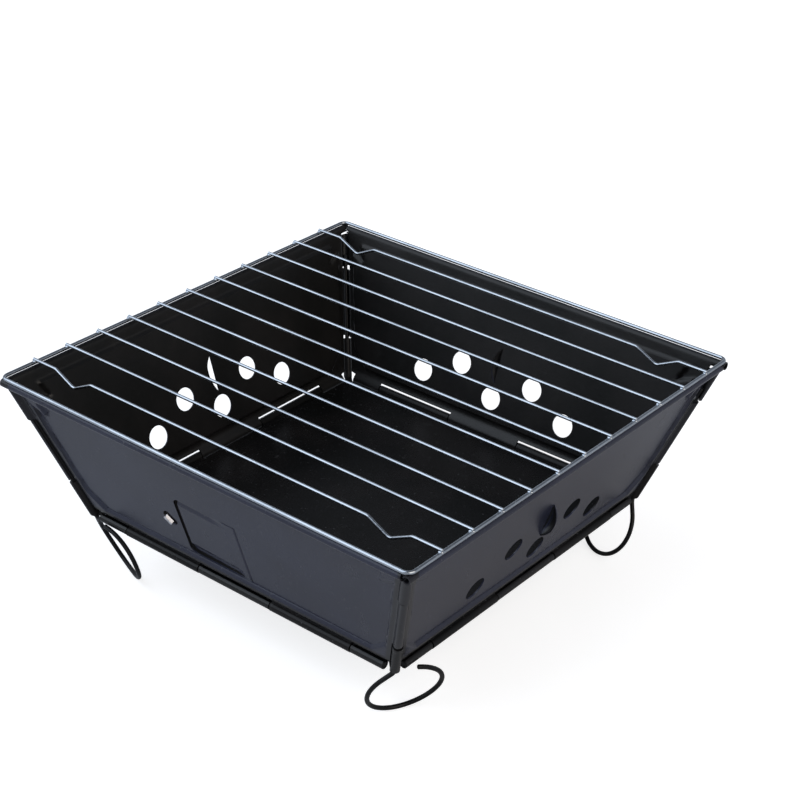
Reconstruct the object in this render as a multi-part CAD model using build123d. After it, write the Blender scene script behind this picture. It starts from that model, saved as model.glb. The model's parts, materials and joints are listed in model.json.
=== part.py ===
from build123d import *
import math
import os

os.makedirs("parts", exist_ok=True)

# Portable folding charcoal grill. A square base plate carries four trapezoid walls on
# rolled hinges. Four wire legs stand in sockets at the corners of the base: each rises
# through the open clips of two walls, and its lower end is bent into a loop foot.
# A welded wire grid lies on the rims, and the front wall has a small hinged vent door.
# Origin: centre of the footprint on the ground. +Z up, -Y the front wall with the door.

# Body, in millimetres
base_side = 236.0          # between the hinge axes of opposite walls
top_side = 300.0           # between the corner axes where the walls end
body_height = 95.0         # from the hinge axes up to the top_side square
sheet = 0.8                # steel of the walls and the door
base_sheet = 1.0           # steel of the base plate

# Hinges along the four bottom edges
hinge_wire_d = 4.0
hinge_play = 0.05          # radial, wire in a hinge knuckle
side_gap = 0.8             # between a knuckle or clip and the part beside it
centre_knuckle = 56.0      # length of a wall's middle knuckle
inner_knuckle = 60.0       # length of each base knuckle beside it
hinge_end = 7.0            # from the corner axis to the end of the outer knuckles
hinge_slit = 1.6           # open slit between a knuckle and the other sheet's edge

# Corners: the leg wires, their sockets and the walls' clips
leg_wire_d = 2.8
leg_play = 0.05            # radial, leg wire in its socket
clip_play = 0.3            # radial, leg wire in a lower clip
top_clip_play = 1.2        # the upper clips are rolled wider
socket_wall = 1.4
corner_relief = 3.8        # from the corner axis to the edge of a wall's sheet
socket_top = 25.0          # heights up the slope of the walls
clip_split = 71.0
top_clip_below = 3.8       # of the upper clips' ends below the rim's axis
clip_wrap = 25.0           # degrees that a clip closes past its widest point
tab_width = 5.0            # tab of the base plate that carries a socket

# Loop foot of a leg wire, drawn in the plane of the loop
shank_top = 84.0           # how far the straight end reaches up the corner
foot_bend_at = 2.6         # below the hinge axes
foot_bend_r = 4.0
loop_r = 21.8
loop_drop = 25.2           # of the loop's centre, along the corner axis
loop_side = 7.3            # of the loop's centre, beside the corner axis
loop_end = 164.0           # degrees, where the open loop stops
loop_turns = [-14.4, -20.8, -21.4, -21.4]  # degrees, each loop about its corner axis

# Rolled rim of a wall
rim_d = 5.2
rim_below = 3.2            # of its axis below the top square, down the slope
rim_over = 4.0             # of its left end past the corner axis
rim_under = 1.5            # of its right end short of the corner axis

# Field of a wall, pressed towards the fire
field_depth = 1.5
field_bottom = 9.2
field_below = 6.3          # of its upper edge below the rim's axis
field_edge = 7.3           # from the corner axis, along the wall
field_foot_in = 14.0       # of the lower edge's ends, from the hinge's corner
field_chamfer = 20.2       # height where the lower corner's slope ends
notch_below = 11.8         # of the notch's outer end below the rim's axis
notch_low_below = 16.8     # of its inner end
notch_wide = 9.8           # along the wall, from the field's edge to the inner end
notch_back = 7.6           # from the field's edge to the top of the notch

# Vents of the right, back and left walls
vent_d = 15.0
vents = [(-57.0, 25.0), (-28.5, 39.5), (0.0, 24.0), (28.5, 39.5), (57.0, 25.0)]
louvre_at = 46.5
louvre_length = 25.0
louvre_rise = 6.5

# Vent door of the front wall
door_left = -32.2
door_right = 16.4
door_bottom = 11.5
door_top = 57.5
door_corner = 5.0
door_gap = 2.3             # free edges
door_head_gap = 1.0        # upper edge
door_pin_d = 1.4
door_pin_play = 0.05
door_roll_wall = 0.85      # of the door's rolled edge, about its own sheet
door_ear_wall = 0.7
door_ear_gap = 0.3         # between an ear and the end of the door's rolled edge
door_pin_over = 5.0        # of the pin past the opening, each end
door_side_gap = 0.25       # beside the plate when the door stands open

# Steel clip on the edge of an oblong hole beside the door
clip_u = -41.2
clip_v = 35.5
clip_turn = -41.0          # degrees, of the hole on the wall
hole_length = 10.5
hole_width = 6.6
hole_near_corner = 1.0
hole_far_corner = 3.0
clip_length = 6.2
clip_sheet = 0.6
clip_cover = 1.6           # how far it reaches over the wall

# Cooking grid
grid_over = 2.4            # of its frame past the corner axes, each side
grid_cells = 12
grid_frame_d = 2.3
grid_wire_d = 1.9
grid_corner_r = 4.5
grid_clearance = 0.3       # above the rims
grid_overhang = 1.0        # of a cross wire past the frame
weld_sink = 0.15
dip_in = 33.4              # from the frame to the middle of a dip
dip_width = 30.0
dip_depth = 7.5
dip_bend_r = 4.0

# Worked out from the sizes above
half_base = base_side / 2
half_top = top_side / 2
slope = math.hypot(body_height, half_top - half_base)
flare = (half_top - half_base) / slope
lean = math.degrees(math.asin(flare))
hinge_r = hinge_wire_d / 2
knuckle_in = hinge_r + hinge_play
knuckle_out = knuckle_in + sheet
knuckle_half = centre_knuckle / 2
knuckle_far = knuckle_half + inner_knuckle
hinge_far = half_base - hinge_end
base_knuckle_out = knuckle_in + base_sheet
leg_r = leg_wire_d / 2
rim_r = rim_d / 2
rim_out = rim_r - sheet / 2
rim_at = slope - rim_below
rim_corner = half_base + rim_at * flare
top_clip_end = rim_at - top_clip_below
field_at = -field_depth    # of the pressed sheet's middle, outwards
grid_half = half_top + grid_over
grid_pitch = 2 * grid_half / grid_cells
frame_r = grid_frame_d / 2
wire_r = grid_wire_d / 2

# Corner axis in a wall's own plane: u along the wall, v up its slope, w outwards
corner_length = math.hypot(slope, half_top - half_base)
corner_dir = Vector(half_top - half_base, slope, 0) / corner_length

# Directions of a leg wire at the front right corner
axis_down = Vector(-(half_top - half_base), half_top - half_base, -body_height).normalized()
across = axis_down.cross(Vector(0, 0, 1)).normalized()
beside = axis_down.cross(across)


def loop_side_way(degrees):
    """The direction in which a loop leans away from its corner axis."""
    turn = math.radians(degrees)
    return across * math.cos(turn) + beside * math.sin(turn)


def standing_height(degrees):
    """How high the hinge axes are above the lowest point of a loop turned so far."""
    way = loop_side_way(degrees)
    lowest = loop_r * math.hypot(axis_down.Z, way.Z) + leg_r
    return lowest - axis_down.Z * loop_drop - way.Z * loop_side


hinge_height = max(standing_height(degrees) for degrees in loop_turns)
wall_normal = Vector(0, -math.cos(math.radians(lean)), -math.sin(math.radians(lean)))
wall_plane = Plane(origin=(0, -half_base, hinge_height), x_dir=(1, 0, 0), z_dir=wall_normal)
corner_names = ["front_right", "back_right", "back_left", "front_left"]
wall_names = ["front", "right", "back", "left"]


def slab(outline, low, high):
    """A plate between two heights w, from a closed outline in u and v."""
    return Pos(0, 0, low) * extrude(outline, high - low)


def bar_between(u_low, u_high, radius):
    """A round bar along u, on the hinge axis."""
    return Pos((u_low + u_high) / 2, 0, 0) * Rot(0, 90, 0) * Cylinder(radius, u_high - u_low)


def knuckle(u_low, u_high, outer=knuckle_out):
    """A rolled hinge knuckle along u, open at its ends."""
    return bar_between(u_low, u_high, outer) - bar_between(u_low, u_high, knuckle_in)


def corner_plane():
    """At the right end of a wall: z up the corner axis, x away from the wall."""
    return Plane(origin=(half_base, 0, 0), x_dir=(corner_dir.Y, -corner_dir.X, 0),
                 z_dir=corner_dir)


def clip(v_low, v_high, play):
    """A rolled clip that goes round the outside of a leg wire, open towards the inside."""
    inner = leg_r + play
    outer = inner + sheet
    far = outer * 4
    start = math.radians(clip_wrap)
    end = math.radians(180 - clip_wrap / 2)
    mouth = Polyline((0, 0), (far * math.cos(start), far * math.sin(start)),
                     (0, far * 2), (far * math.cos(end), far * math.sin(end)), close=True)
    ring = Circle(outer) - Circle(inner) - make_face(mouth)
    low = v_low / corner_dir.Y
    high = v_high / corner_dir.Y
    return corner_plane().location * Pos(0, 0, low) * extrude(ring, high - low)


def tongue_to_clip(v_low, v_high, play):
    """The strip of sheet that reaches from the wall's edge to its clip."""
    low = v_low / corner_dir.Y
    high = v_high / corner_dir.Y
    reach = corner_relief * 2
    inner = leg_r + play
    strip = Pos(-(reach + inner) / 2 - sheet / 4, 0, (low + high) / 2)
    return corner_plane().location * strip * Box(reach - inner, sheet, high - low)


def wall_outline():
    """The sheet of a wall without its clips: slanted sides and a notched lower edge."""
    relief = corner_relief / corner_dir.Y
    low = knuckle_in + sheet / 2
    high = base_knuckle_out + hinge_slit
    side_low = half_base + high * flare - relief
    side_high = rim_corner - relief
    points = [(knuckle_half, low), (knuckle_half, high), (knuckle_far, high),
              (knuckle_far, low), (hinge_far, low), (hinge_far, high), (side_low, high),
              (side_high, rim_at)]
    mirrored = [(-u, v) for u, v in reversed(points)]
    return make_face(Polyline(*points, *mirrored, close=True))


def field_outline(shrink):
    """The pressed field: slanted sides, cut lower corners and a notch under each rim end."""
    edge = half_base - field_edge
    top = rim_at - field_below
    notch_top = rim_at - notch_below
    notch_low = rim_at - notch_low_below
    points = [(half_base - field_foot_in, field_bottom),
              (edge + field_chamfer * flare, field_chamfer),
              (edge + notch_top * flare, notch_top),
              (edge + notch_low * flare - notch_wide, notch_low),
              (edge + top * flare - notch_back, top)]
    mirrored = [(-u, v) for u, v in reversed(points)]
    face = make_face(Polyline(*points, *mirrored, close=True))
    return offset(face, -shrink) if shrink else face


def pressed(outline):
    """The body between a closed outline and its pressed place, with flanks at 45 degrees."""
    return mirror(extrude(outline, field_depth, taper=45), Plane.XY)


def plain_wall():
    """One wall: sheet, pressed field, rolled rim, hinge knuckles and two corner clips."""
    wall = slab(wall_outline(), -sheet / 2, sheet / 2)
    thin = sheet * (math.sqrt(2) - 1)
    wall += Pos(0, 0, -sheet / 2) * pressed(field_outline(0))
    wall -= Pos(0, 0, sheet / 2) * pressed(field_outline(thin))

    rim_left = rim_corner + rim_over
    rim_right = rim_corner - rim_under
    rim_place = Pos((rim_right - rim_left) / 2, rim_at, rim_out) * Rot(0, 90, 0)
    wall += rim_place * Cylinder(rim_r, rim_left + rim_right)
    wall -= rim_place * Cylinder(rim_r - sheet, rim_left + rim_right)

    wall += clip(socket_top + side_gap, clip_split, clip_play)
    wall += tongue_to_clip(socket_top + side_gap, clip_split, clip_play)
    upper = clip(clip_split + side_gap, top_clip_end, top_clip_play)
    upper += tongue_to_clip(clip_split + side_gap, top_clip_end, top_clip_play)
    wall += mirror(upper, Plane.YZ)

    wall += knuckle(-knuckle_half + side_gap / 2, knuckle_half - side_gap / 2)
    for side in (-1, 1):
        ends = sorted((side * (knuckle_far + side_gap / 2), side * hinge_far))
        wall += knuckle(*ends)
    return wall


def louvre_body(rise):
    """A spindle along v: a flat arc turned about the louvre's own long axis."""
    half = louvre_length / 2
    arc = ThreePointArc((0, -half), (rise, 0), (0, half))
    face = make_face(Wire([arc, Line((0, half), (0, -half))]))
    return Pos(0, louvre_at, 0) * revolve(face, Axis.Y)


def vented_wall():
    """A wall with five round vents and a louvre whose mouth looks along -u."""
    wall = plain_wall()
    for u, v in vents:
        wall -= Pos(u, v, field_at) * Cylinder(vent_d / 2, 4 * sheet)
    middle = Pos(0, 0, field_at)
    quarter = Pos(louvre_length / 2, louvre_at, louvre_length / 2 + field_at)
    corner = quarter * Box(louvre_length, louvre_length * 2, louvre_length)
    hole = Pos(louvre_length / 2, louvre_at, field_at)
    hole *= Box(louvre_length, louvre_length * 2, 2 * sheet)
    wall -= hole & middle * louvre_body(louvre_rise - sheet)
    shell = louvre_body(louvre_rise) - louvre_body(louvre_rise - sheet)
    wall += corner & middle * shell
    return wall


door_pin_r = door_pin_d / 2
door_knuckle_in = door_pin_r + door_pin_play
door_knuckle_out = door_knuckle_in + door_roll_wall
door_pin_u = door_right - door_knuckle_out - door_side_gap
door_pin_w = field_at + sheet / 2 - door_knuckle_out
door_ear_r = door_knuckle_in + door_ear_wall
door_pin_low = door_bottom - door_pin_over
door_pin_high = door_top + door_pin_over


def door_blank(left, right, low, high, radius):
    """A plate in the wall's face, its two corners away from the door's hinge rounded."""
    place = Pos((left + right) / 2, (low + high) / 2, field_at)
    plate = place * Box(right - left, high - low, sheet)
    return fillet(plate.edges().filter_by(Axis.Z).group_by(Axis.X)[0], radius)


def upright(v_low, v_high, radius):
    """A round bar along v on the door's hinge axis."""
    centre = Pos(door_pin_u, (v_low + v_high) / 2, door_pin_w)
    return centre * Rot(90, 0, 0) * Cylinder(radius, v_high - v_low)


def door_ear(v_low, v_high, sheet_at):
    """A rolled ear on the wall's inside that holds one end of the door's pin."""
    height = sheet_at - door_pin_w
    root = Pos(door_pin_u + door_ear_r / 2, (v_low + v_high) / 2, door_pin_w + height / 2)
    root *= Box(door_ear_r, v_high - v_low, height)
    return upright(v_low, v_high, door_ear_r) + root


def on_hole(x, y, w):
    """A place given along and across the oblong hole."""
    return Pos(clip_u, clip_v, w) * Rot(0, 0, clip_turn) * Pos(x, y, 0)


def door_wall():
    """The front wall: the door's opening, two ears for its pin and the oblong hole."""
    wall = plain_wall()
    wall += door_ear(door_pin_low, field_bottom, 0)
    wall += door_ear(field_bottom, door_bottom - door_ear_gap, field_at)
    wall += door_ear(door_top + door_ear_gap, door_pin_high, field_at)
    wall -= door_blank(door_left, door_right, door_bottom, door_top, door_corner)
    wall -= upright(door_pin_low - 1, door_pin_high + 1, door_knuckle_in)
    hole = Box(hole_length, hole_width, 2 * sheet)
    sides = hole.edges().filter_by(Axis.Z).group_by(Axis.Y)
    hole = fillet(sides[-1], hole_far_corner)
    hole = fillet(hole.edges().filter_by(Axis.Z).group_by(Axis.Y)[0], hole_near_corner)
    return wall - on_hole(0, 0, field_at) * hole


def door_catch():
    """A steel strip folded over the hole's edge."""
    thick = sheet + 2 * clip_sheet
    edge = -hole_width / 2
    width = clip_cover + clip_sheet
    block = on_hole(0, edge + clip_sheet - width / 2, field_at) * Box(clip_length, width, thick)
    block = fillet(block.edges().filter_by(Axis.Z), clip_sheet * 0.9)
    groove = on_hole(0, edge - clip_cover, field_at)
    return block - groove * Box(clip_length * 2, 2 * clip_cover, sheet)


def vent_door():
    """The door's plate with a rolled edge round its pin."""
    low = door_bottom + door_gap
    high = door_top - door_head_gap
    plate = door_blank(door_left + door_gap, door_pin_u, low, high, door_corner - door_gap)
    plate += upright(low, high, door_knuckle_out)
    return plate - upright(low - 1, high + 1, door_knuckle_in)


def base_plate():
    """The floor of the grill with its hinge knuckles and corner sockets."""
    inner = half_base - knuckle_out - hinge_slit
    outer = half_base - knuckle_in - base_sheet / 2
    plate = Box(inner * 2, inner * 2, base_sheet)
    for quarter in range(4):
        for side in (-1, 1):
            middle = side * (knuckle_half + knuckle_far) / 2
            width = inner_knuckle - side_gap
            lip = Pos(middle, -outer / 2, 0) * Box(width, outer, base_sheet)
            ends = (middle - width / 2, middle + width / 2)
            lip += Pos(0, -half_base, 0) * knuckle(*ends, base_knuckle_out)
            plate += Rot(0, 0, 90 * quarter) * lip

    axis_up = axis_down * -1
    foot = Plane(origin=(half_base, -half_base, 0), x_dir=(1, 1, 0), z_dir=axis_up)
    socket_r = leg_r + leg_play + socket_wall
    top = socket_top / corner_dir.Y
    below = socket_r * 2
    socket = foot.location * Pos(0, 0, (top - below) / 2) * Cylinder(socket_r, top + below)
    bore = foot.location * Cylinder(leg_r + leg_play, 3 * top)
    tab_in = inner - tab_width
    tab_out = half_base - (leg_r + leg_play + socket_wall / 2) / math.sqrt(2)
    tab_length = (tab_out - tab_in) * math.sqrt(2)
    tab_mid = (tab_in + tab_out) / 2
    tab = Pos(tab_mid, -tab_mid, 0) * Rot(0, 0, -45) * Box(tab_length, tab_width, base_sheet)
    wide = 4 * below
    cut = Pos(half_base, -half_base, -below - base_sheet / 2) * Box(wide, wide, 2 * below)
    corner = (socket - cut) + tab - bore
    for quarter in range(4):
        plate += Rot(0, 0, 90 * quarter) * corner
    return Pos(0, 0, hinge_height) * plate


def hinge_wire():
    """The straight wire of one bottom hinge."""
    bar = bar_between(-hinge_far, hinge_far, hinge_r)
    bar = chamfer(bar.edges().filter_by(GeomType.CIRCLE), hinge_r / 4)
    return Pos(0, -half_base, hinge_height) * bar


def leg_wire(degrees):
    """Straight shank, one bend at the socket's mouth and an open loop, all in one plane."""
    loop_plane = Plane(origin=(half_base, -half_base, hinge_height), x_dir=axis_down,
                       z_dir=axis_down.cross(loop_side_way(degrees)))
    bend = Vector(foot_bend_at, 0)
    centre = Vector(loop_drop, loop_side)
    to_centre = centre - bend
    reach = math.hypot(to_centre.X, to_centre.Y)
    bearing = math.degrees(math.atan2(-to_centre.Y, -to_centre.X))
    start = bearing + math.degrees(math.acos(loop_r / reach))
    loop = CenterArc((loop_drop, loop_side), loop_r, start, loop_end - start)
    lead = FilletPolyline((-shank_top, 0), (foot_bend_at, 0), loop @ 0, radius=foot_bend_r)
    path = Wire(lead.edges() + loop.edges())
    section = Plane(origin=path @ 0, z_dir=path % 0) * Circle(leg_r)
    wire = sweep(section, path=path)
    ends = wire.faces().filter_by(GeomType.PLANE).edges()
    return loop_plane.location * chamfer(ends, leg_r / 4)


def grid_level():
    """Height of the grid frame's wire, so that it clears the rolled rims."""
    rim = wall_plane.from_local_coords(Vector(0, rim_at, rim_out))
    aside = grid_half + rim.Y
    touch = rim_r + frame_r + grid_clearance
    return rim.Z + math.sqrt(touch ** 2 - aside ** 2)


def grid_frame():
    """One closed wire with rounded corners."""
    path = RectangleRounded(2 * grid_half, 2 * grid_half, grid_corner_r).wire()
    section = Plane(origin=path @ 0, z_dir=path % 0) * Circle(frame_r)
    return Pos(0, 0, grid_level()) * sweep(section, path=path)


def straight_grid_wire():
    """A cross wire along X."""
    wire = Rot(0, 90, 0) * Cylinder(wire_r, 2 * (grid_half + grid_overhang))
    return chamfer(wire.edges().filter_by(GeomType.CIRCLE), wire_r / 4)


def dipped_grid_wire():
    """A cross wire with a V-shaped dip near each end."""
    end = grid_half + grid_overhang
    half = dip_width / 2
    dip_at = grid_half - dip_in
    right = [(dip_at - half, 0), (dip_at, -dip_depth), (dip_at + half, 0), (end, 0)]
    left = [(-x, z) for x, z in reversed(right)]
    points = [(x, 0, z) for x, z in left + right]
    path = Wire(FilletPolyline(*points, radius=dip_bend_r).edges())
    section = Plane(origin=path @ 0, z_dir=path % 0) * Circle(wire_r)
    wire = sweep(section, path=path)
    return chamfer(wire.faces().filter_by(GeomType.PLANE).edges(), wire_r / 4)


nodes = {"base_plate": base_plate()}
walls = [door_wall()] + [vented_wall()] * 3
for quarter, side in enumerate(wall_names):
    spin = Rot(0, 0, 90 * quarter)
    nodes[side + "_wall"] = spin * wall_plane.location * walls[quarter]
    nodes[side + "_hinge_wire"] = spin * hinge_wire()
    nodes[corner_names[quarter] + "_leg_wire"] = spin * leg_wire(loop_turns[quarter])
nodes["vent_door"] = wall_plane.location * vent_door()
nodes["door_catch"] = wall_plane.location * door_catch()
nodes["door_hinge_pin"] = wall_plane.location * upright(door_pin_low, door_pin_high, door_pin_r)
nodes["grid_frame"] = grid_frame()
cross_level = grid_level() + frame_r + wire_r - weld_sink
cross_wires = grid_cells - 1
for number in range(1, cross_wires + 1):
    y = (number - grid_cells / 2) * grid_pitch
    outer_wire = number in (1, cross_wires)
    wire = dipped_grid_wire() if outer_wire else straight_grid_wire()
    nodes[f"grid_wire_{number:02d}"] = Pos(0, y, cross_level) * wire

for name, solid in nodes.items():
    export_step(solid, f"parts/{name}.step")
print("hinge height", round(hinge_height, 4), "top", round(cross_level + wire_r, 4))
print("door pin", round(door_pin_u, 3), round(door_pin_w, 3))
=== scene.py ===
# %% [markdown]
# # A portable folding grill
# Four flared sheet walls stand on a square base plate. Wire legs run up the corners and end
# below in loop feet, and a chromed wire grid lies on the rims.

# %% Load the frame
import json
import math

import bmesh
import bpy
import numpy as np
from mathutils import Matrix, Vector


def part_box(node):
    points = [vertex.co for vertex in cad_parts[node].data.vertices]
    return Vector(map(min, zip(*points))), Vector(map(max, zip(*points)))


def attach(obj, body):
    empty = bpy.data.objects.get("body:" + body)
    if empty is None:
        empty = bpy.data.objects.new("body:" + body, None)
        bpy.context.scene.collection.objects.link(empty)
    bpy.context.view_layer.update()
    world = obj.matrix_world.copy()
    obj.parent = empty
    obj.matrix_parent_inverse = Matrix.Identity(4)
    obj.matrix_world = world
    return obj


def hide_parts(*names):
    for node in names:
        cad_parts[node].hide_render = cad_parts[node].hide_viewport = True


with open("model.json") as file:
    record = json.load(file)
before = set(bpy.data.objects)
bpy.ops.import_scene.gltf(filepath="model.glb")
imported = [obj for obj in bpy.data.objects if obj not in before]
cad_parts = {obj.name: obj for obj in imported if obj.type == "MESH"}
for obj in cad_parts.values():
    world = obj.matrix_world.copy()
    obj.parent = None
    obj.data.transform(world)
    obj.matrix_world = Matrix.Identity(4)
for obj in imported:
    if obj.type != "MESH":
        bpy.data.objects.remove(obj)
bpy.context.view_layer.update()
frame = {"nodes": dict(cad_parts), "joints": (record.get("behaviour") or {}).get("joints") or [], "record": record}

# %% [markdown]
# The grill is as wide at the hinges as its base and flares to the rim. The hinge lines are
# read from the joints of the frame, so the sheets made below stand where the walls turn.

# %% Driving sizes
mm = 0.001
joints = {joint["name"]: joint for joint in frame["joints"]}
front_hinge = Vector(joints["front_wall_hinge"]["pos_m"])
half_base = -front_hinge.y
hinge_height = front_hinge.z
corner_axis = Vector(joints["front_right_leg_swivel"]["axis"]).normalized()
print("hinges at", round(half_base / mm, 2), "height", round(hinge_height / mm, 2))

# %% [markdown]
# The camera stands to the right of the door and well above the rim. Its distance and lens
# were worked out from the corners of the rim and the base, and a small roll tilts it as a
# camera held by hand is tilted.

# %% Camera
view_azimuth = 38.417
view_elevation = 29.074
view_roll = 1.703
view_distance = 1260.7 * mm
view_target = Vector((-69.152 * mm, 115.517 * mm, hinge_height))
view_lens = 83.417
sensor_width = 36
nearest_seen = 0.05


def aim(azimuth, elevation, roll):
    """The camera's right, up and backward directions, from angles in degrees."""
    a = math.radians(azimuth)
    e = math.radians(elevation)
    r = math.radians(roll)
    back = Vector((math.sin(a) * math.cos(e), -math.cos(a) * math.cos(e), math.sin(e)))
    level = Vector((math.cos(a), math.sin(a), 0))
    above = back.cross(level)
    right = math.cos(r) * level + math.sin(r) * above
    up = math.cos(r) * above - math.sin(r) * level
    return right, up, back


right, up, back = aim(view_azimuth, view_elevation, view_roll)
camera = bpy.data.objects.new("camera", bpy.data.cameras.new("camera"))
camera.data.lens = view_lens
camera.data.sensor_width = sensor_width
camera.data.clip_start = nearest_seen
camera.matrix_world = Matrix.LocRotScale(
    view_target + back * view_distance, Matrix((right, up, back)).transposed(), None)
bpy.context.scene.collection.objects.link(camera)
bpy.context.scene.camera = camera
bpy.context.scene.view_settings.view_transform = "Standard"
print("camera at", [round(value, 3) for value in camera.matrix_world.translation])

# %% [markdown]
# A shader is a sum of small steps, so it reads best as arithmetic. `Link` wraps a socket and
# adds a Math node for each operator. `Shader.node` makes every other node in one call: its
# settings first, then the values or links of its sockets.


# %% Shader arithmetic
class Link:
    """An output socket that can be added, multiplied and so on."""

    def __init__(self, shader, socket):
        self.shader = shader
        self.socket = socket

    def math(self, operation, *values):
        """One Math node, with its values or links in order."""
        return self.shader.node("ShaderNodeMath", {"operation": operation},
                                dict(enumerate(values)))

    def __add__(self, other):
        return self.math("ADD", self, other)

    def __sub__(self, other):
        return self.math("SUBTRACT", self, other)

    def __rsub__(self, other):
        return self.math("SUBTRACT", other, self)

    def __mul__(self, other):
        return self.math("MULTIPLY", self, other)

    def __abs__(self):
        return self.math("ABSOLUTE", self)

    __radd__ = __add__
    __rmul__ = __mul__

    def clamp(self):
        """The value, kept between 0 and 1."""
        return self.math("MINIMUM", self.math("MAXIMUM", self, 0.0), 1.0)

    def step(self, low, high):
        """0 below low, 1 above high, and a smooth rise between."""
        return self.shader.node(
            "ShaderNodeMapRange", {"interpolation_type": "SMOOTHSTEP"},
            {"Value": self, "From Min": low, "From Max": high})


class Shader:
    """The nodes of a material or a world."""

    def __init__(self, owner):
        owner.use_nodes = True
        self.owner = owner
        self.tree = owner.node_tree
        self.surface = self.tree.nodes.get("Principled BSDF")

    def node(self, kind, settings=None, inputs=None, output=0):
        """Any node: its type, its settings, its sockets' values or links, and one output."""
        made = self.tree.nodes.new(kind)
        for key, value in (settings or {}).items():
            setattr(made, key, value)
        for key, value in (inputs or {}).items():
            self.put(made.inputs[key], value)
        return Link(self, made.outputs[output])

    def put(self, socket, value):
        """A link goes into the socket as a link, and anything else as its value."""
        if isinstance(value, Link):
            self.tree.links.new(value.socket, socket)
        else:
            socket.default_value = value

    def place(self):
        """Where a point is on the piece, in metres."""
        return self.node("ShaderNodeTexCoord", output="Object")

    def split(self, vector):
        """The x, y and z of a vector, as three links."""
        made = self.tree.nodes.new("ShaderNodeSeparateXYZ")
        self.put(made.inputs[0], vector)
        return [Link(self, socket) for socket in made.outputs]

    def noise(self, where, scale, detail=4.0, roughness=0.55):
        """Cloudy noise from 0 to 1. A larger scale makes smaller clouds."""
        return self.node("ShaderNodeTexNoise", None,
                         {"Vector": where, "Scale": scale, "Detail": detail,
                          "Roughness": roughness})

    def mix(self, factor, one, other):
        """A colour between two, as four numbers or a link each."""
        made = self.tree.nodes.new("ShaderNodeMix")
        made.data_type = "RGBA"
        self.put(made.inputs[0], factor)
        self.put(made.inputs[6], one)
        self.put(made.inputs[7], other)
        return Link(self, made.outputs[2])

    def vector_math(self, operation, *values, output=0):
        """One Vector Math node, with its values or links in order."""
        return self.node("ShaderNodeVectorMath", {"operation": operation},
                         dict(enumerate(values)), output)

    def bump(self, height, strength, distance):
        """A Bump node, for the Normal socket."""
        return self.node("ShaderNodeBump", None,
                         {"Height": height, "Strength": strength, "Distance": distance})

    def finish(self, **sockets):
        """Fills the shader's own sockets and hands over the material."""
        for key, value in sockets.items():
            self.put(self.surface.inputs[key.replace("_", " ").title()], value)
        return self.owner


# %% [markdown]
# The sheet is dark heat-proof paint, sprayed and baked. Close up it has a fine orange peel, a
# faint cloudiness where the coat is thicker, specks of dust and thin rubbed marks. One paint
# covers both sides of a wall. The inside could be a second material, but a sheet has no seam
# there, so the shader compares each face's direction with its place: where they agree the
# face looks outwards, and elsewhere the paint is darker and duller. The darker tone there is
# painted shade for the grill's shadowed inside. The strip above the knuckles and the clips at
# the corners get the same painted shade on both sides, for the crease over the hinge and the
# curls that face away from the light.

# %% Painted sheet
knuckle_shade = (7.2 * mm, 9.2 * mm)    # above the hinges: dark up to here, then clean
clip_shade = (6.5 * mm, 8.5 * mm)       # from the corner line along the wall
# Painted shade, thin and thick coat: the darker tone of the shadowed inside, the crease over the knuckles and the
# clips.
painted_shade_thin = (0.009, 0.008, 0.008, 1)
painted_shade_thick = (0.004, 0.004, 0.004, 1)
wear_in_painted_shade = (0.020, 0.019, 0.018, 1)
worn_outside = (0.110, 0.112, 0.120, 1)


def painted_sheet(name, thin_coat, thick_coat, gloss_level):
    """Dark paint: noise at several scales moves the tone, the gloss and a small bump."""
    shader = Shader(bpy.data.materials.new(name))
    place = shader.place()
    facing = shader.node("ShaderNodeTexCoord", output="Normal")
    sideways = shader.vector_math("NORMALIZE", shader.vector_math("MULTIPLY", place, (1, 1, 0)))
    outwards = shader.vector_math("DOT_PRODUCT", sideways, facing, output=1)
    outside = outwards.step(-0.25, 0.15)

    across, along, level = shader.split(place)
    # Painted shade over the crease above the knuckles: dark below knuckle_shade, clean above it.
    off_knuckles = level.step(*(hinge_height + height for height in knuckle_shade))
    # Painted shade on the corner clips, which face away from the light. A fifth of the clean tone stays.
    off_clips = abs(abs(across) - abs(along)).step(*clip_shade) * 0.8 + 0.2

    cloud = shader.noise(place, 18.0, 3.0)
    peel = shader.noise(place, 900.0, 2.0)
    rubbed = shader.noise(place, 140.0, 6.0, 0.7).step(0.62, 0.74)
    specks = shader.noise(place, 520.0, 2.0, 0.5).step(0.69, 0.74)
    drawn_out = shader.vector_math("MULTIPLY", place, (1.0, 1.0, 0.22))
    scuffs = shader.noise(drawn_out, 95.0, 6.0, 0.72).step(0.60, 0.70)

    clean = shader.mix(cloud.step(0.3, 0.7), thick_coat, thin_coat)
    # Painted shade: mixed in where a face looks inwards, above the knuckles and on the clips.
    painted_shade_tone = shader.mix(cloud.step(0.35, 0.65), painted_shade_thick, painted_shade_thin)
    tone = shader.mix(outside * off_knuckles * off_clips, painted_shade_tone, clean)
    # The wear marks are real. On inward faces their darker colour also carries the inside's painted shade.
    worn = shader.mix(outside, wear_in_painted_shade, worn_outside)
    wear = (rubbed * 0.12 + scuffs * 0.14 + specks * 0.45).clamp()
    roughness = cloud * 0.10 + peel * 0.06 + rubbed * 0.06 + scuffs * 0.08
    shader.surface.inputs["Specular IOR Level"].default_value = gloss_level
    return shader.finish(
        base_color=shader.mix(wear, tone, worn),
        roughness=roughness + (1 - outside) * 0.12 + 0.15,
        metallic=0.0,
        normal=shader.bump(peel * 0.6 + cloud * 0.4, 0.25, 0.4 * mm))


# %% [markdown]
# The grid is plain steel wire with bright chrome plating. The plating has slow changes of tone
# from heat and small dull spots, most of all near the welds.

# %% Chromed wire


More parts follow.
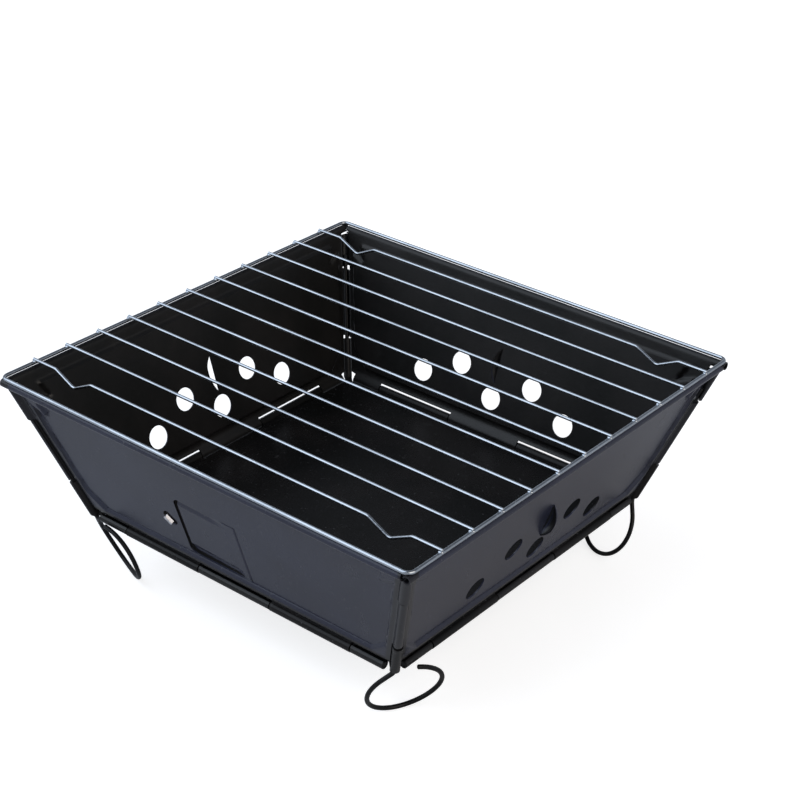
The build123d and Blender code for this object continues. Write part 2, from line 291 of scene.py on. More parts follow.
def chromed_wire():
    """Bright metal whose tone and gloss wander a little."""
    shader = Shader(bpy.data.materials.new("chromed_wire"))
    place = shader.place()
    heat = shader.noise(place, 30.0, 4.0)
    spots = shader.noise(place, 420.0, 3.0).step(0.55, 0.75)
    return shader.finish(
        base_color=shader.mix(heat.step(0.35, 0.75), (0.47, 0.51, 0.56, 1),
                              (0.34, 0.37, 0.41, 1)),
        metallic=1.0,
        roughness=heat * 0.12 + spots * 0.15 + 0.14,
        normal=shader.bump(spots, 0.2, 0.2 * mm))


# %% [markdown]
# Legs and hinge wires have the same black coating over drawn wire. It is as black as paint
# gets, with a soft gloss that small dents break up.

# %% Black wire


def black_wire():
    """A black coat with small dents."""
    shader = Shader(bpy.data.materials.new("black_wire"))
    dents = shader.noise(shader.place(), 260.0, 3.0)
    shader.surface.inputs["Specular IOR Level"].default_value = 0.2
    return shader.finish(
        base_color=shader.mix(dents.step(0.4, 0.7), (0.003, 0.003, 0.003, 1),
                              (0.007, 0.007, 0.008, 1)),
        roughness=dents * 0.2 + 0.25,
        normal=shader.bump(dents, 0.2, 0.3 * mm))


# %% [markdown]
# The catch is cut from unpainted strip, so it is the one spot of bare steel. It is metal with
# a fine grain, and a middle roughness keeps it from looking like the plated wire.

# %% Bare steel


def bare_steel():
    """Cut steel strip with a fine grain."""
    shader = Shader(bpy.data.materials.new("bare_steel"))
    grain = shader.noise(shader.place(), 700.0, 2.0)
    return shader.finish(
        base_color=shader.mix(grain.step(0.3, 0.7), (0.62, 0.62, 0.66, 1),
                              (0.80, 0.80, 0.84, 1)),
        metallic=1.0,
        roughness=grain * 0.2 + 0.25,
        normal=shader.bump(grain, 0.15, 0.2 * mm))


# %% [markdown]
# The record says which finish each piece of the imported model has. Base plate, hinge wires,
# door pin, catch and grid stay as they are packed and only get a better material. The base
# is blacker and duller than the walls. It lies wholly below the line where the painted shade
# over the knuckles ends, so it takes that painted shade tone all over.

# %% Finishes by slot
finishes = {
    "painted wall": painted_sheet("painted_sheet", (0.027, 0.030, 0.050, 1),
                                  (0.020, 0.022, 0.038, 1), 0.32),
    # The base lies below the knuckle line, so the painted shade covers all of it.
    "painted base": painted_sheet("painted_base", (0.009, 0.009, 0.010, 1),
                                  (0.005, 0.005, 0.006, 1), 0.18),
    "chromed wire": chromed_wire(),
    "black leg wire": black_wire(),
    "bare steel": bare_steel(),
}
finishes["hinge wire"] = finishes["black leg wire"]
slot_of = {part["node"]: part["material_slot"] for part in frame["record"]["subparts"]}
for name, node in frame["nodes"].items():
    node.data.materials.clear()
    node.data.materials.append(finishes[slot_of[name]])
print("finishes", sorted(set(slot_of.values())))

# %% [markdown]
# A wall is one sheet of steel: rolled over at the rim, pressed in the middle, cut into
# knuckles below and curled round the leg wires at its ends. It could be built from boxes and
# tubes, but real folded sheet has one thickness and soft bends everywhere, so here the middle
# of the sheet is a grid of points. Rows run from the rim's roll down the wall to the knuckle's
# roll, columns run along the wall and on into the clips, and Solidify adds the thickness.

# %% Sizes of a wall, in millimetres
sheet = 0.8
base_half = half_base / mm
flare = corner_axis.x / math.hypot(corner_axis.y, corner_axis.z)    # sideways for each 1 up
skew = math.sqrt(1 - corner_axis.x ** 2)                  # along the wall to square to the axis
wall_top = 100.245         # from the hinge up the slope to the corner of the rims
rim_at = wall_top - 3.2
rim_mid = 2.2              # radius of the rim's roll, at the middle of the sheet
rim_turn = 310             # degrees that the rim is rolled
rim_start = 1.2            # the flat wall ends this far below the roll's middle
rim_over = 4.0             # the rim passes the corner at its left end
rim_under = 1.5            # and stops short of it at its right end
knuckle_mid = 2.45         # radius of the knuckles, at the middle of the sheet
knuckle_turn = 262
knuckle_ends = (27.6, 88.4, 111.0)
notch = 4.4                # height of the slits above the base's knuckles
joggle = 7.0               # the wall's foot bends inwards over this height
side_relief = 3.99         # from the corner line to the end of the flat sheet
clip_rows = (26.5, 70.7, 72.2, rim_at - 3.8)    # lower clip from and to, upper clip from and to
clip_turn = (270, 395)
low_clip = 2.1             # radius of the lower clip, and of the upper one that lies over it
top_clip = 3.0
straight = 100.0           # beyond this the columns lean with the corner
line_step = 1.1            # between neighbouring lines of the grid


def lines(*stops):
    """Evenly filled grid lines that also pass through every stop."""
    parts = []
    for low, high in zip(stops[:-1], stops[1:]):
        count = max(2, math.ceil((high - low) / line_step) + 1)
        parts.append(np.linspace(low, high, count)[:-1])
    return np.concatenate(parts + [np.array(stops[-1:], float)])


def smooth(x):
    """0 to 1 with flat ends: 3x^2 - 2x^3."""
    x = np.clip(x, 0, 1)
    return x * x * (3 - 2 * x)


print("sheet", sheet, "mm, rim's middle", round(rim_at, 2), "mm up the slope")

# %% [markdown]
# The pressed field has a kinked outline. The press leaves a soft edge, so the depth depends on
# how far a point is inside the outline: the distance to the nearest side, counted by sign.

# %% Pressed field
field_depth = 1.5
field_spring = 0.2         # the press goes a little deeper than the field's edge
field_wave = 0.12
flank = 1.6                # the width of the pressed field's soft edge
field_inset = 7.3          # from the corner line to the field's slanted side
field_foot = (14.0, 9.2)   # the lower corner: in from the base's corner, and up
field_cut = 20.2           # height at which the cut lower corner meets the slanted side
field_tops = (6.3, 11.8, 16.8)    # below the rim: the top, and the notch's outer and inner end
field_steps = (7.6, 9.8)   # how far the top and the notch stay back from the slanted side


def field_outline():
    """Corners of the field: slanted ends, cut lower corners and a notch under the rim's ends."""
    edge = base_half - field_inset
    top, outer, inner = (rim_at - drop for drop in field_tops)
    right_half = [
        (base_half - field_foot[0], field_foot[1]),
        (edge + field_cut * flare, field_cut),
        (edge + outer * flare, outer),
        (edge + inner * flare - field_steps[1], inner),
        (edge + top * flare - field_steps[0], top)]
    return np.array(right_half + [(-u, v) for u, v in reversed(right_half)])


def inside_distance(u, v, outline):
    """Distance to the nearest side of a polygon, positive inside it.

    For a side from p with direction d, the nearest point is p + d * clip((q - p).d / d.d).
    A point is inside when a line to its right crosses an odd number of sides."""
    nearest = np.full(u.shape, 1e9)
    crossings = np.zeros(u.shape, int)
    for (u0, v0), (u1, v1) in zip(outline, np.roll(outline, -1, axis=0)):
        du, dv = u1 - u0, v1 - v0
        along = np.clip(((u - u0) * du + (v - v0) * dv) / (du * du + dv * dv), 0, 1)
        nearest = np.minimum(nearest, np.hypot(u - u0 - along * du, v - v0 - along * dv))
        if dv:
            crossings += ((v0 > v) != (v1 > v)) & (u < u0 + (v - v0) * du / dv)
    return np.where(crossings % 2 == 1, nearest, -nearest)


def pressed(u, v, seed):
    """Depth of the field, plus long shallow waves, products of sines, that thin sheet keeps."""
    depth = smooth(inside_distance(u, v, field_outline()) / flank)
    waves = np.sin(u / 23 + seed) * np.cos(v / 17 + 2 * seed) + np.sin(u / 41 - v / 29 + 3 * seed)
    return -depth * (field_depth + field_spring + field_wave * waves)


print("field outline", np.round(field_outline()[:5], 1).tolist())

# %% [markdown]
# Every piece of sheet below is a grid that becomes a mesh in the same way: one vertex for each
# point, one face for each cell that is kept, and the wall's own axes turned into the room's.

# %% Grid to mesh
sharp_angle = math.radians(40)


def wall_axes(quarter):
    """Where a wall's hinge is, and its directions along, up and outwards."""
    lean = math.atan2(-corner_axis.y, corner_axis.z)
    turn = Matrix.Rotation(math.radians(90 * quarter), 3, "Z")
    origin = turn @ Vector((0, -half_base, hinge_height))
    along = turn @ Vector((1, 0, 0))
    up_slope = turn @ Vector((0, -math.sin(lean), math.cos(lean)))
    outwards = turn @ Vector((0, -math.cos(lean), -math.sin(lean)))
    return np.array([origin, along, up_slope, outwards])


def placed(u, v, w, quarter):
    """Wall coordinates in millimetres as points in metres: hinge + u along + v up + w out."""
    origin, along, up_slope, outwards = wall_axes(quarter)
    steps = u[..., None] * along + v[..., None] * up_slope + w[..., None] * outwards
    return origin + steps * mm


def grid_mesh(name, points, keep=None, close=False):
    """A mesh from rows and columns of points. keep says which cells have a face, and close
    joins the last column to the first."""
    rows, columns = points.shape[:2]
    index = np.arange(rows * columns).reshape(rows, columns)
    if close:
        index = np.hstack([index, index[:, :1]])
    cells = np.stack([index[:-1, :-1], index[:-1, 1:], index[1:, 1:], index[1:, :-1]], axis=-1)
    if keep is not None:
        cells = cells[keep]
    used, compact = np.unique(cells.reshape(-1, 4), return_inverse=True)
    mesh = bpy.data.meshes.new(name)
    mesh.from_pydata(points.reshape(-1, 3)[used].tolist(), [], compact.reshape(-1, 4).tolist())
    piece = bpy.data.objects.new(name, mesh)
    bpy.context.scene.collection.objects.link(piece)
    return piece


# %% [markdown]
# Folded sheet has the same thickness everywhere. Solidify gives it, half to each side of the
# grid, and is applied at once, because a finished piece is a plain mesh in its own place.

# %% Thickness, and pieces in one


def thicken(piece, thickness):
    """Solidify about the middle of the sheet, with even walls at the bends."""
    made = piece.modifiers.new("thickness", "SOLIDIFY")
    made.thickness = thickness * mm
    made.offset = 0
    made.use_even_offset = True
    return piece


def settle(piece):
    """Apply the modifiers and shade smooth, with sharp cut edges."""
    graph = bpy.context.evaluated_depsgraph_get()
    mesh = bpy.data.meshes.new_from_object(piece.evaluated_get(graph))
    piece.modifiers.clear()
    piece.data = mesh
    mesh.shade_smooth()
    mesh.set_sharp_from_angle(angle=sharp_angle)
    return piece


def join(pieces, name):
    """Several meshes as one object. The single ones are removed."""
    joined = bmesh.new()
    for piece in pieces:
        joined.from_mesh(piece.data)
        bpy.data.objects.remove(piece)
    mesh = bpy.data.meshes.new(name)
    joined.to_mesh(mesh)
    joined.free()
    whole = bpy.data.objects.new(name, mesh)
    bpy.context.scene.collection.objects.link(whole)
    mesh.set_sharp_from_angle(angle=sharp_angle)
    return whole


def dress(piece, slot, body, node=None):
    """Give a finished piece its material, the body it moves with and the node it stands for."""
    piece.data.materials.append(finishes[slot])
    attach(piece, body)
    if node:
        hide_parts(node)
    print(piece.name, len(piece.data.polygons), "faces")


# %% [markdown]
# A row of the wall's grid has one height on the wall, or one angle of a roll. Seen from the
# end, the rows draw the sheet's profile: the rim's roll, the slope, a foot that bends inwards
# and the knuckle's roll.

# %% Rows of a wall


def wall_rows():
    """Height and depth of each row, and how many rows the rim and the slope have.

    Rim: v = rim_at + r sin a, w = r - r cos a. Foot: w falls to -r as a smooth step.
    Knuckle: v = -r sin a, w = -r cos a."""
    rim = np.radians(np.linspace(rim_turn, 0, 24))
    slope = lines(notch, *clip_rows, rim_at - rim_start)[::-1]
    foot = np.linspace(notch, 0, 7)[1:]
    knuckle = np.radians(np.linspace(0, knuckle_turn, 22))[1:]
    v = np.concatenate([rim_at + rim_mid * np.sin(rim), slope, foot,
                        -knuckle_mid * np.sin(knuckle)])
    bend = -knuckle_mid * smooth((joggle - v) / joggle)
    w = np.concatenate([rim_mid - rim_mid * np.cos(rim), bend[len(rim):-len(knuckle)],
                        -knuckle_mid * np.cos(knuckle)])
    return v, w, len(rim), len(slope)


# %% [markdown]
# The columns are even in the middle, where the knuckles are cut, and lean outwards towards
# the slanted corners. Past each end of the sheet they go on as a clip: the sheet rises to the
# corner line and rolls round the leg wire, but stays open so that it can swing off the wire.

# %% Columns of a wall


def sheet_columns(v, is_rim, is_knuckle):
    """u of every point: even lines, then shares of the way to the row's own end."""
    side = np.where(is_knuckle, knuckle_ends[2], base_half + v * flare - side_relief)
    rim_corner = base_half + rim_at * flare
    right_end = np.where(is_rim, rim_corner - rim_under, side)
    left_end = np.where(is_rim, rim_corner + rim_over, side)
    middle = lines(-straight, -knuckle_ends[1], -knuckle_ends[0], knuckle_ends[0],
                   knuckle_ends[1], straight)
    share = np.linspace(0, 1, 34)[1:]
    beside_right = straight + share * (right_end[:, None] - straight)
    beside_left = -straight - share[::-1] * (left_end[:, None] - straight)
    return np.hstack([beside_left, np.tile(middle, (len(v), 1)), beside_right])


def clip_columns(v, radius, sign):
    """From the sheet's end a smooth rise by r, then a roll: x = r cos a, depth = -r sin a."""
    reach = np.linspace(-side_relief * skew, 0, 7)[1:]
    turn = np.radians(np.linspace(*clip_turn, 12))[1:]
    x = np.concatenate([reach, radius * np.cos(turn)])
    out = np.concatenate([radius * smooth(1 + reach / (side_relief * skew)),
                          -radius * np.sin(turn)])
    corner = base_half + v * flare
    return sign * (corner[:, None] + x / skew), np.tile(out, (len(v), 1))


# %% [markdown]
# Cells that belong to the neighbour's knuckles or lie beside a clip have no face. What is left
# is the wall's blank, already bent.

# %% Wall sheet


def kept_cells(u, v, rim_rows, slope_rows, first, last):
    """Which cells have a face. Columns before first and from last on belong to the clips."""
    cell_v = (v[:-1] + v[1:])[:, :-1] / 2
    cell_u = (u[:, :-1] + u[:, 1:])[:-1] / 2
    column = np.arange(u.shape[1] - 1)[None, :]
    row = np.arange(len(v) - 1)[:, None]
    below = row >= rim_rows + slope_rows - 1
    on_slope = (row >= rim_rows) & ~below
    in_low = on_slope & (cell_v > clip_rows[0]) & (cell_v < clip_rows[1])
    in_top = on_slope & (cell_v > clip_rows[2]) & (cell_v < clip_rows[3])
    base_knuckle = (abs(cell_u) > knuckle_ends[0]) & (abs(cell_u) < knuckle_ends[1])
    return np.where(column < first, in_top,
                    np.where(column >= last, in_low, ~(below & base_knuckle)))


def wall_sheet(quarter):
    """Rows from the rim to the knuckles. Columns from the upper clip to the lower one."""
    v, w, rim_rows, slope_rows = wall_rows()
    is_rim = np.arange(len(v)) < rim_rows
    is_knuckle = np.arange(len(v)) >= rim_rows + slope_rows
    sheet_u = sheet_columns(v, is_rim, is_knuckle)
    sheet_v = np.tile(v[:, None], sheet_u.shape[1])
    on_slope = ~(is_rim | is_knuckle)[:, None]
    sheet_w = w[:, None] + on_slope * pressed(sheet_u, sheet_v, quarter + 0.4)
    low_u, low_w = clip_columns(v, low_clip, 1)
    top_u, top_w = clip_columns(v, top_clip, -1)
    u = np.hstack([top_u[:, ::-1], sheet_u, low_u])
    w = np.hstack([top_w[:, ::-1], sheet_w, low_w])
    v = np.tile(v[:, None], u.shape[1])
    first = top_u.shape[1]
    last = first + sheet_u.shape[1] - 1
    keep = kept_cells(u, v, rim_rows, slope_rows, first, last)
    return grid_mesh("sheet", placed(u, v, w, quarter), keep)


# %% [markdown]
# The holes are punched, so their edges are square and clean. A Boolean with a plug does that
# better than leaving cells out, because the plug's outline needs no lines of the grid.

# %% Punched holes
plug_reach = 6.0           # the plug stands out of the sheet by this much on both sides


def rounded(width, height, left_radius, right_radius):
    """Outline of a plate whose left and right corners have their own radius.

    A corner is its centre + r (cos a, sin a) over a quarter turn."""
    points = []
    for x, y, radius, start in ((1, 1, right_radius, 0), (-1, 1, left_radius, 90),
                                (-1, -1, left_radius, 180), (1, -1, right_radius, 270)):
        turn = np.radians(np.linspace(start, start + 90, 9 if radius else 1))
        centre = np.array([x * (width / 2 - radius), y * (height / 2 - radius)])
        points.append(centre + radius * np.stack([np.cos(turn), np.sin(turn)], axis=-1))
    return np.concatenate(points)


def plug(outline, quarter):
    """A closed outline in u and v, as a short bar right through the sheet."""
    u = np.tile(outline[:, 0], (2, 1))
    v = np.tile(outline[:, 1], (2, 1))
    w = np.array([[-plug_reach], [plug_reach]]) * np.ones((1, len(outline)))
    bar = grid_mesh("plug", placed(u, v, w, quarter), close=True)
    shape = bmesh.new()
    shape.from_mesh(bar.data)
    bmesh.ops.holes_fill(shape, edges=[edge for edge in shape.edges if edge.is_boundary])
    bmesh.ops.recalc_face_normals(shape, faces=shape.faces)
    shape.to_mesh(bar.data)
    shape.free()
    return bar


def punch(piece, plugs):
    """Cut all plugs out of the sheet at once."""
    cutter = join(plugs, "plugs")
    cut = piece.modifiers.new("holes", "BOOLEAN")
    cut.operation = "DIFFERENCE"
    cut.solver = "EXACT"
    cut.object = cutter
    settle(piece)
    bpy.data.objects.remove(cutter)
    return piece


# %% [markdown]
# Three walls have five round vents and a louvre: a slot whose one edge is pushed out into half
# a spindle, open towards the wall's left. Its radius follows a flat arc along the slot.

# %% Vents and louvres
vent_radius = 7.5
vents = [(-57.0, 25.0), (-28.5, 39.5), (0.0, 24.0), (28.5, 39.5), (57.0, 25.0)]
louvre_at = 46.5           # height of its middle
louvre_half = 12.5
louvre_rise = 5.6
louvre_lap = 0.5           # the slot is cut this much inside the louvre's foot
louvre_least = 0.05        # radius at its two tips
louvre_turn = (-4, 96)
louvre_sheet = sheet * 0.8    # pushed out, the sheet gets thinner


def spindle_radius(v):
    """Height of a flat arc over the louvre: sqrt(R^2 - (v - middle)^2) - (R - rise)."""
    arc = (louvre_half ** 2 + louvre_rise ** 2) / (2 * louvre_rise)
    return np.sqrt(arc ** 2 - (v - louvre_at) ** 2) - (arc - louvre_rise)


def louvre(quarter):
    """Round the louvre's long axis, from the sheet to the open edge: r (cos a, sin a)."""
    v = np.linspace(louvre_at - louvre_half, louvre_at + louvre_half, 25)[:, None]
    turn = np.radians(np.linspace(*louvre_turn, 15))[None, :]
    radius = np.maximum(spindle_radius(v), louvre_least)
    u = radius * np.cos(turn)
    w = radius * np.sin(turn) - field_depth
    return thicken(grid_mesh("louvre", placed(u, v + 0 * turn, w, quarter)), louvre_sheet)


def vent_plugs(quarter):
    """Five circles, and the half spindle of the slot under the louvre."""
    turn = np.radians(np.arange(0, 360, 7.5))
    circle = np.stack([np.cos(turn), np.sin(turn)], axis=-1) * vent_radius
    plugs = [plug(circle + np.array(centre), quarter) for centre in vents]
    slot_half = louvre_half - 0.8
    v = np.linspace(louvre_at - slot_half, louvre_at + slot_half, 21)
    edge = np.stack([np.maximum(spindle_radius(v) - louvre_lap, 0.1), v], axis=-1)
    back = np.array([(-0.2, v[-1]), (-0.2, v[0])])
    return plugs + [plug(np.concatenate([edge, back]), quarter)]


# %% [markdown]
# The front wall has the door's opening and, beside it, an oblong hole for the catch. Two small
# curls behind the sheet hold the ends of the door's pin.

# %% Door opening
door_pin = Vector(joints["vent_door_hinge"]["pos_m"])
pin_reach = (door_pin - front_hinge) / mm
pin_u = pin_reach.x
pin_w = -field_depth + sheet / 2 - 1.6    # the pin lies behind the pressed field
door_box = (-32.2, 16.4, 11.5, 57.5)      # the opening: left, right, low, high
door_corner = 5.0
door_gap = 2.3
catch_place = (-41.2, 35.5)
catch_turn = -41.0
catch_slot = (10.5, 6.6, 2.2)             # length, width and corner radius
curl_mid = 1.12
curl_sheet = 0.6
curl_turn = (60, 400)
curl_gap = 0.3                            # between a curl and the opening's edge
curl_end = 5.0


def door_plugs(quarter):
    """The opening, rounded at its free side, and the oblong hole turned by catch_turn."""
    left_edge, right_edge, low, high = door_box
    middle = np.array([(left_edge + right_edge) / 2, (low + high) / 2])
    opening = rounded(right_edge - left_edge, high - low, door_corner, 0) + middle
    turn = math.radians(catch_turn)
    rotate = np.array([[math.cos(turn), math.sin(turn)], [-math.sin(turn), math.cos(turn)]])
    length, width, radius = catch_slot
    slot = rounded(length, width, radius, radius) @ rotate + np.array(catch_place)
    return [plug(opening, quarter), plug(slot, quarter)]


def pin_curl(low, high, quarter):
    """A hook of sheet round the pin, from the wall's inside and back to it: r (cos a, sin a)."""
    v = np.linspace(low, high, 4)[:, None]
    turn = np.radians(np.linspace(*curl_turn, 26))[None, :]
    u = pin_u + curl_mid * np.cos(turn) + 0 * v
    w = pin_w + curl_mid * np.sin(turn) + 0 * v
    return thicken(grid_mesh("curl", placed(u, v + 0 * turn, w, quarter)), curl_sheet)


# %% [markdown]
# All four walls come from one sheet function, turned by a quarter each time. The front one gets
# the door's opening, the others get vents and a louvre. Each stands for its CAD node.

# %% Four walls
for quarter, side_name in enumerate(["front", "right", "back", "left"]):
    node_name = side_name + "_wall"
    body = thicken(wall_sheet(quarter), sheet)
    if quarter == 0:
        extras = [pin_curl(door_box[2] - curl_end, door_box[2] - curl_gap, quarter),
                  pin_curl(door_box[3] + curl_gap, door_box[3] + curl_end, quarter)]
        punch(body, door_plugs(quarter))
    else:
        extras = [louvre(quarter)]
        punch(body, vent_plugs(quarter))
    wall = join([body] + [settle(extra) for extra in extras], side_name + "_sheet")
    dress(wall, "painted wall", node_name, node_name)

# %% [markdown]
# The vent door is a plate with a fold along its top and a bent lip below, and its hinge side is
# rolled round the pin. Its rows shorten at the two rounded corners.

# %% Vent door
door_top_gap = 0.6         # between the plate's upper edge and the opening
low_lip = 1.3              # depth of the lip below, of the fold above and of the sunk middle
top_fold = 0.9
top_fold_at = 52.4
plate_sink = 0.6
pin_roll = (90, -215)


def vent_door_plate():
    """Columns: flat from the free edge to the pin, then round it by r (cos a, sin a).

    Rows: from low to high. At a rounded corner a row starts later, by r - sqrt(r^2 - c^2),
    where c is how far it is into the corner. Lip, fold and sink fade out as smooth steps."""
    left_edge = door_box[0] + door_gap
    low = door_box[2] + door_gap
    high = door_box[3] - door_top_gap
    radius = door_corner - door_gap
    v = np.concatenate([np.linspace(low, low + radius, 8)[:-1],
                        lines(low + radius, high - radius)[:-1],
                        np.linspace(high - radius, high, 8)])
    cut = np.maximum(0, np.maximum(low + radius - v, v - (high - radius)))
    start = left_edge + radius - np.sqrt(radius ** 2 - np.minimum(cut, radius) ** 2)
    share = np.linspace(0, 1, 42)[None, :]
    flat_u = start[:, None] + share * (pin_u - start[:, None])
    turn = np.radians(np.linspace(*pin_roll, 26))[1:][None, :]
    roll_mid = -field_depth - pin_w
    u = np.hstack([flat_u, pin_u + roll_mid * np.cos(turn) + 0 * v[:, None]])
    lip = low_lip * smooth((low + 6.5 - v) / 4.5)[:, None] * smooth((pin_u - 2 - flat_u) / 8)
    fold = top_fold * smooth((v - top_fold_at) / 1.6)[:, None]
    fold = fold * smooth((pin_u - 4 - flat_u) / 16)
    sink = plate_sink * smooth((pin_u - 6 - flat_u) / 36)
    flat_w = -field_depth - lip - fold - sink
    w = np.hstack([flat_w, pin_w + roll_mid * np.sin(turn) + 0 * v[:, None]])
    rows = np.tile(v[:, None], u.shape[1])
    return settle(thicken(grid_mesh("vent_door_plate", placed(u, rows, w, 0)), sheet))


dress(vent_door_plate(), "painted wall", "vent_door", "vent_door")

# %% [markdown]
# A leg is one wire: a straight shank up the corner, a bend at the socket's mouth and an open
# loop to stand on. A hand bends the loop, so its free strand never lies quite in one plane
# with the rest. The path is worked out flat first, and the strand's belly is added to it.

# %% Path of a leg wire
leg_radius = 1.4
shank_top = 84.0
foot_bend = 2.6            # where the shank's line meets the loop's lead
bend_reach = 2.4           # the bend starts and ends this far from that corner
loop_radius = 21.8
loop_centre = np.array([25.2, 7.3])
loop_end = 164.0           # degrees round the loop's centre
belly_late = 1.8           # above 1 it moves the belly towards the free end


def leg_path(lean_out):
    """Down the shank, round a small bend and along the loop: x down, y aside, z out of plane.

    The loop is its centre + r (cos a, sin a) from where a line from the bend touches it. The
    bend is (1 - t)^2 p + 2t(1 - t) q + t^2 r. The belly is sin(pi s^belly_late), s = 0 to 1."""
    to_centre = loop_centre - (foot_bend, 0)
    bearing = math.atan2(-to_centre[1], -to_centre[0])
    start = bearing + math.acos(loop_radius / np.hypot(*to_centre))
    angle = np.linspace(start, math.radians(loop_end), 90)
    loop = loop_centre + loop_radius * np.stack([np.cos(angle), np.sin(angle)], axis=-1)
    corner = np.array([foot_bend, 0.0])
    shank = np.linspace([-shank_top, 0.0], corner - (bend_reach, 0), 20)
    lead_way = (loop[0] - corner) / np.linalg.norm(loop[0] - corner)
    t = np.linspace(0, 1, 11)[1:, None]
    bend = ((1 - t) ** 2 * shank[-1] + 2 * t * (1 - t) * corner
            + t ** 2 * (corner + bend_reach * lead_way))
    lead = np.linspace(bend[-1], loop[0], 8)[1:-1]
    flat = np.concatenate([shank, bend, lead, loop])
    belly = np.sin(np.pi * np.clip(np.degrees(angle) / loop_end, 0, 1) ** belly_late)
    aside = np.concatenate([np.zeros(len(flat) - len(loop)), -lean_out * belly])
    return np.column_stack([flat, aside])


print("leg wire", round(float(np.linalg.norm(np.diff(leg_path(0), axis=0), axis=1).sum())), "mm")

# %% [markdown]
# The tube is a circle carried along the path, with small rounded ends. Each leg stands in its
# own corner, turned in its socket by a few degrees more or less, as such legs are.

# %% Leg wires
corner_names = ["front_right", "back_right", "back_left", "front_left"]
loop_turns = [-14.4, -20.8, -21.4, -21.4]    # in the socket, in degrees
strand_lean = [-0.8, 0.6, 0.5, 3.0]          # the belly of each free strand, in millimetres
tube_ends = leg_radius * np.array([[0.0, 0.0], [0.75, 0.1], [1.0, 0.35]])    # radius, place


def tube_along(path):
    """A ring round every point, square to the path: cos a aside + sin a across, times r."""
    way = np.gradient(path, axis=0)
    way /= np.linalg.norm(way, axis=1)[:, None]
    path = np.concatenate([path[:1] + tube_ends[:, 1:] * way[:1], path[1:-1],
                           path[-1:] - tube_ends[::-1, 1:] * way[-1:]])
    way = np.concatenate([way[:1]] * 3 + [way[1:-1]] + [way[-1:]] * 3)
    size = np.concatenate([tube_ends[:, 0], np.full(len(path) - 6, leg_radius),
                           tube_ends[::-1, 0]])
    aside = np.cross((0.0, 0.0, 1.0), way)
    aside /= np.linalg.norm(aside, axis=1)[:, None]
    across = np.cross(way, aside)
    turn = np.radians(np.arange(0, 360, 22.5))[None, :, None]
    ring = np.cos(turn) * aside[:, None] + np.sin(turn) * across[:, None]
    return path[:, None] + ring * size[:, None, None]


def leg_tube(name, quarter):
    """The tube in its corner: x runs down the corner axis, y aside at the loop's turn."""
    joint = joints[name + "_leg_swivel"]
    down = -np.array(Vector(joint["axis"]).normalized())
    level = np.cross(down, (0, 0, 1))
    level /= np.linalg.norm(level)
    angle = math.radians(loop_turns[quarter])
    side = level * math.cos(angle) + np.cross(down, level) * math.sin(angle)
    directions = np.array([down, side, np.cross(down, side)])
    points = tube_along(leg_path(strand_lean[quarter])) @ directions * mm
    return grid_mesh(name + "_leg", points + np.array(joint["pos_m"]), close=True)


def merge_points(piece):
    """Close the poles of a tube or lump and turn all its faces outwards."""
    shape = bmesh.new()
    shape.from_mesh(piece.data)
    bmesh.ops.remove_doubles(shape, verts=shape.verts, dist=0.005 * mm)
    bmesh.ops.recalc_face_normals(shape, faces=shape.faces)
    shape.to_mesh(piece.data)
    shape.free()
    piece.data.shade_smooth()
    return piece


for quarter, name in enumerate(corner_names):
    leg = merge_points(leg_tube(name, quarter))
    dress(leg, "black leg wire", name + "_leg", name + "_leg_wire")
    low = min(corner[2] for corner in leg.bound_box) / mm
    print(leg.name, "lowest point", round(low, 2), "mm")

# %% [markdown]
# Each crossing of the grid is a resistance weld: the wires sink into each other and a little
# metal squeezes out round the joint. A low uneven lump does this, an ellipsoid whose radius
# changes with the angle.

# %% Weld lumps
grid_low, grid_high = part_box("grid_frame")
frame_radius = (grid_high.z - grid_low.z) / 2
frame_half = grid_high.x - frame_radius
lump_half = (1.75, 1.55, 0.75)    # across, along and up, in millimetres
lump_sunk = 0.15 * mm
cross_wires = 11


def weld_lump(centre, seed):
    """Half sizes times (cos b cos a, cos b sin a, sin b), uneven by slow waves of a."""
    up_angle = np.radians(np.linspace(-90, 90, 9))[:, None]
    round_angle = np.radians(np.arange(0, 360, 30))[None, :]
    uneven = 1 + 0.12 * np.sin(2 * round_angle + seed) + 0.08 * np.cos(3 * round_angle - seed)
    x = lump_half[0] * np.cos(up_angle) * np.cos(round_angle) * uneven
    y = lump_half[1] * np.cos(up_angle) * np.sin(round_angle) * uneven
    z = lump_half[2] * np.sin(up_angle) + 0 * round_angle
    points = np.stack([x, y, z], axis=-1) * mm + np.array(centre)
    return grid_mesh("weld", points, close=True)


welds = []
for number in range(1, cross_wires + 1):
    wire_low, wire_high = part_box(f"grid_wire_{number:02d}")
    middle = (wire_low.y + wire_high.y) / 2
    for sign in (-1, 1):
        centre = (sign * frame_half, middle, grid_high.z - lump_sunk)
        welds.append(settle(weld_lump(centre, number + 4 * sign)))
dress(merge_points(join(welds, "grid_welds")), "chromed wire", "grid")

# %% [markdown]
# A studio puts such a thing on a white sweep. The floor here is a pale sheet that the camera
# sees as white, apart from the grill's own shadow. It ends a few metres off, where the white
# of the room goes on.

# %% Floor
floor_size = 2.8
floor_glow = 0.74          # added for the camera, so that the lit floor comes out white
mirror_glow = 0.03


def pale_floor():
    """White to the camera and to reflections, with the object's own soft shadow on it."""
    shader = Shader(bpy.data.materials.new("pale_floor"))
    seen = shader.node("ShaderNodeLightPath", output="Is Camera Ray")
    mirrored = shader.node("ShaderNodeLightPath", output="Is Glossy Ray")
    tone = shader.mix(shader.noise(shader.place(), 3.0), (0.56, 0.57, 0.59, 1),
                      (0.59, 0.59, 0.60, 1))
    return shader.finish(
        base_color=tone,
        roughness=0.7,
        emission_color=(1, 1, 1, 1),
        emission_strength=seen * floor_glow + mirrored * mirror_glow)


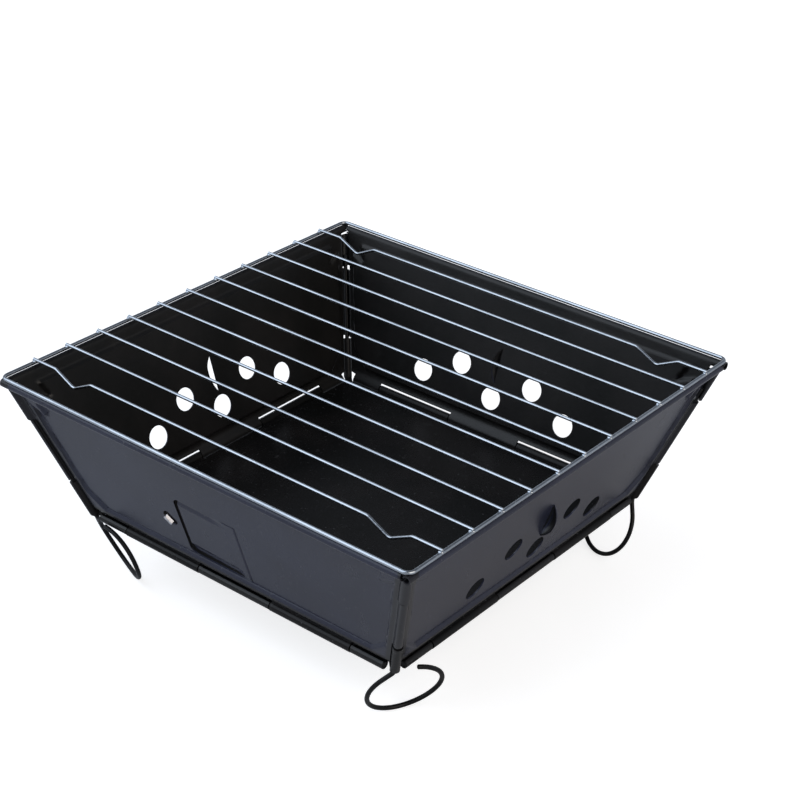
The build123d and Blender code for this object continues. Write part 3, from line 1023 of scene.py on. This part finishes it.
floor_mesh = bpy.data.meshes.new("floor")
corners = np.array([(-1, -1, 0), (1, -1, 0), (1, 1, 0), (-1, 1, 0)], float) * floor_size
floor_mesh.from_pydata(corners.tolist(), [], [(0, 1, 2, 3)])
floor_mesh.materials.append(pale_floor())
floor = bpy.data.objects.new("floor", floor_mesh)
bpy.context.scene.collection.objects.link(floor)
print("floor", 2 * floor_size, "m wide")

# %% [markdown]
# Paint this dark shows almost only what it mirrors, and a wall that leans out mirrors the
# floor. So two wide lamps light the floor as well: a cool one from the left, a warmer one from
# the right, which gives the two walls in view their different tints.

# %% Lights
grill_middle = Vector((0, 0, 0.08))


def soft_box(name, place, size, power, colour):
    """An area lamp that looks at the middle of the grill."""
    lamp = bpy.data.lights.new(name, "AREA")
    lamp.size = size
    lamp.energy = power
    lamp.color = colour
    made = bpy.data.objects.new(name, lamp)
    made.location = place
    made.rotation_mode = "QUATERNION"
    made.rotation_quaternion = (grill_middle - Vector(place)).to_track_quat("-Z", "Y")
    bpy.context.scene.collection.objects.link(made)
    print(name, power, "W")


soft_box("key_light", (-1.5, -1.5, 2.4), 4.2, 96.0, (0.80, 0.89, 1.0))
soft_box("fill_light", (2.4, -0.3, 1.7), 2.6, 40.0, (1.0, 0.91, 0.80))

# %% [markdown]
# The room is bright round the table and darker overhead. A plain white world would be simpler,
# but the inside of the grill looks straight up, and black paint under a white ceiling is grey.
# Only the camera sees plain white.

# %% Room
wall_light = (0.50, 0.53, 0.58, 1)
ceiling_light = (0.14, 0.15, 0.17, 1)
ceiling_from = 0.12        # the upward part of the view's direction, where the light drops
ceiling_to = 0.75

world = bpy.data.worlds.new("pale_room")
bpy.context.scene.world = world
room = Shader(world)
direction = room.node("ShaderNodeTexCoord", output="Generated")
height = room.split(direction)[2]
tint = room.mix(height.step(ceiling_from, ceiling_to), wall_light, ceiling_light)
seen = room.node("ShaderNodeLightPath", output="Is Camera Ray")
room.put(room.tree.nodes["Background"].inputs["Color"], room.mix(seen, tint, (1, 1, 1, 1)))
print("room light", wall_light[:3], "ceiling", ceiling_light[:3])
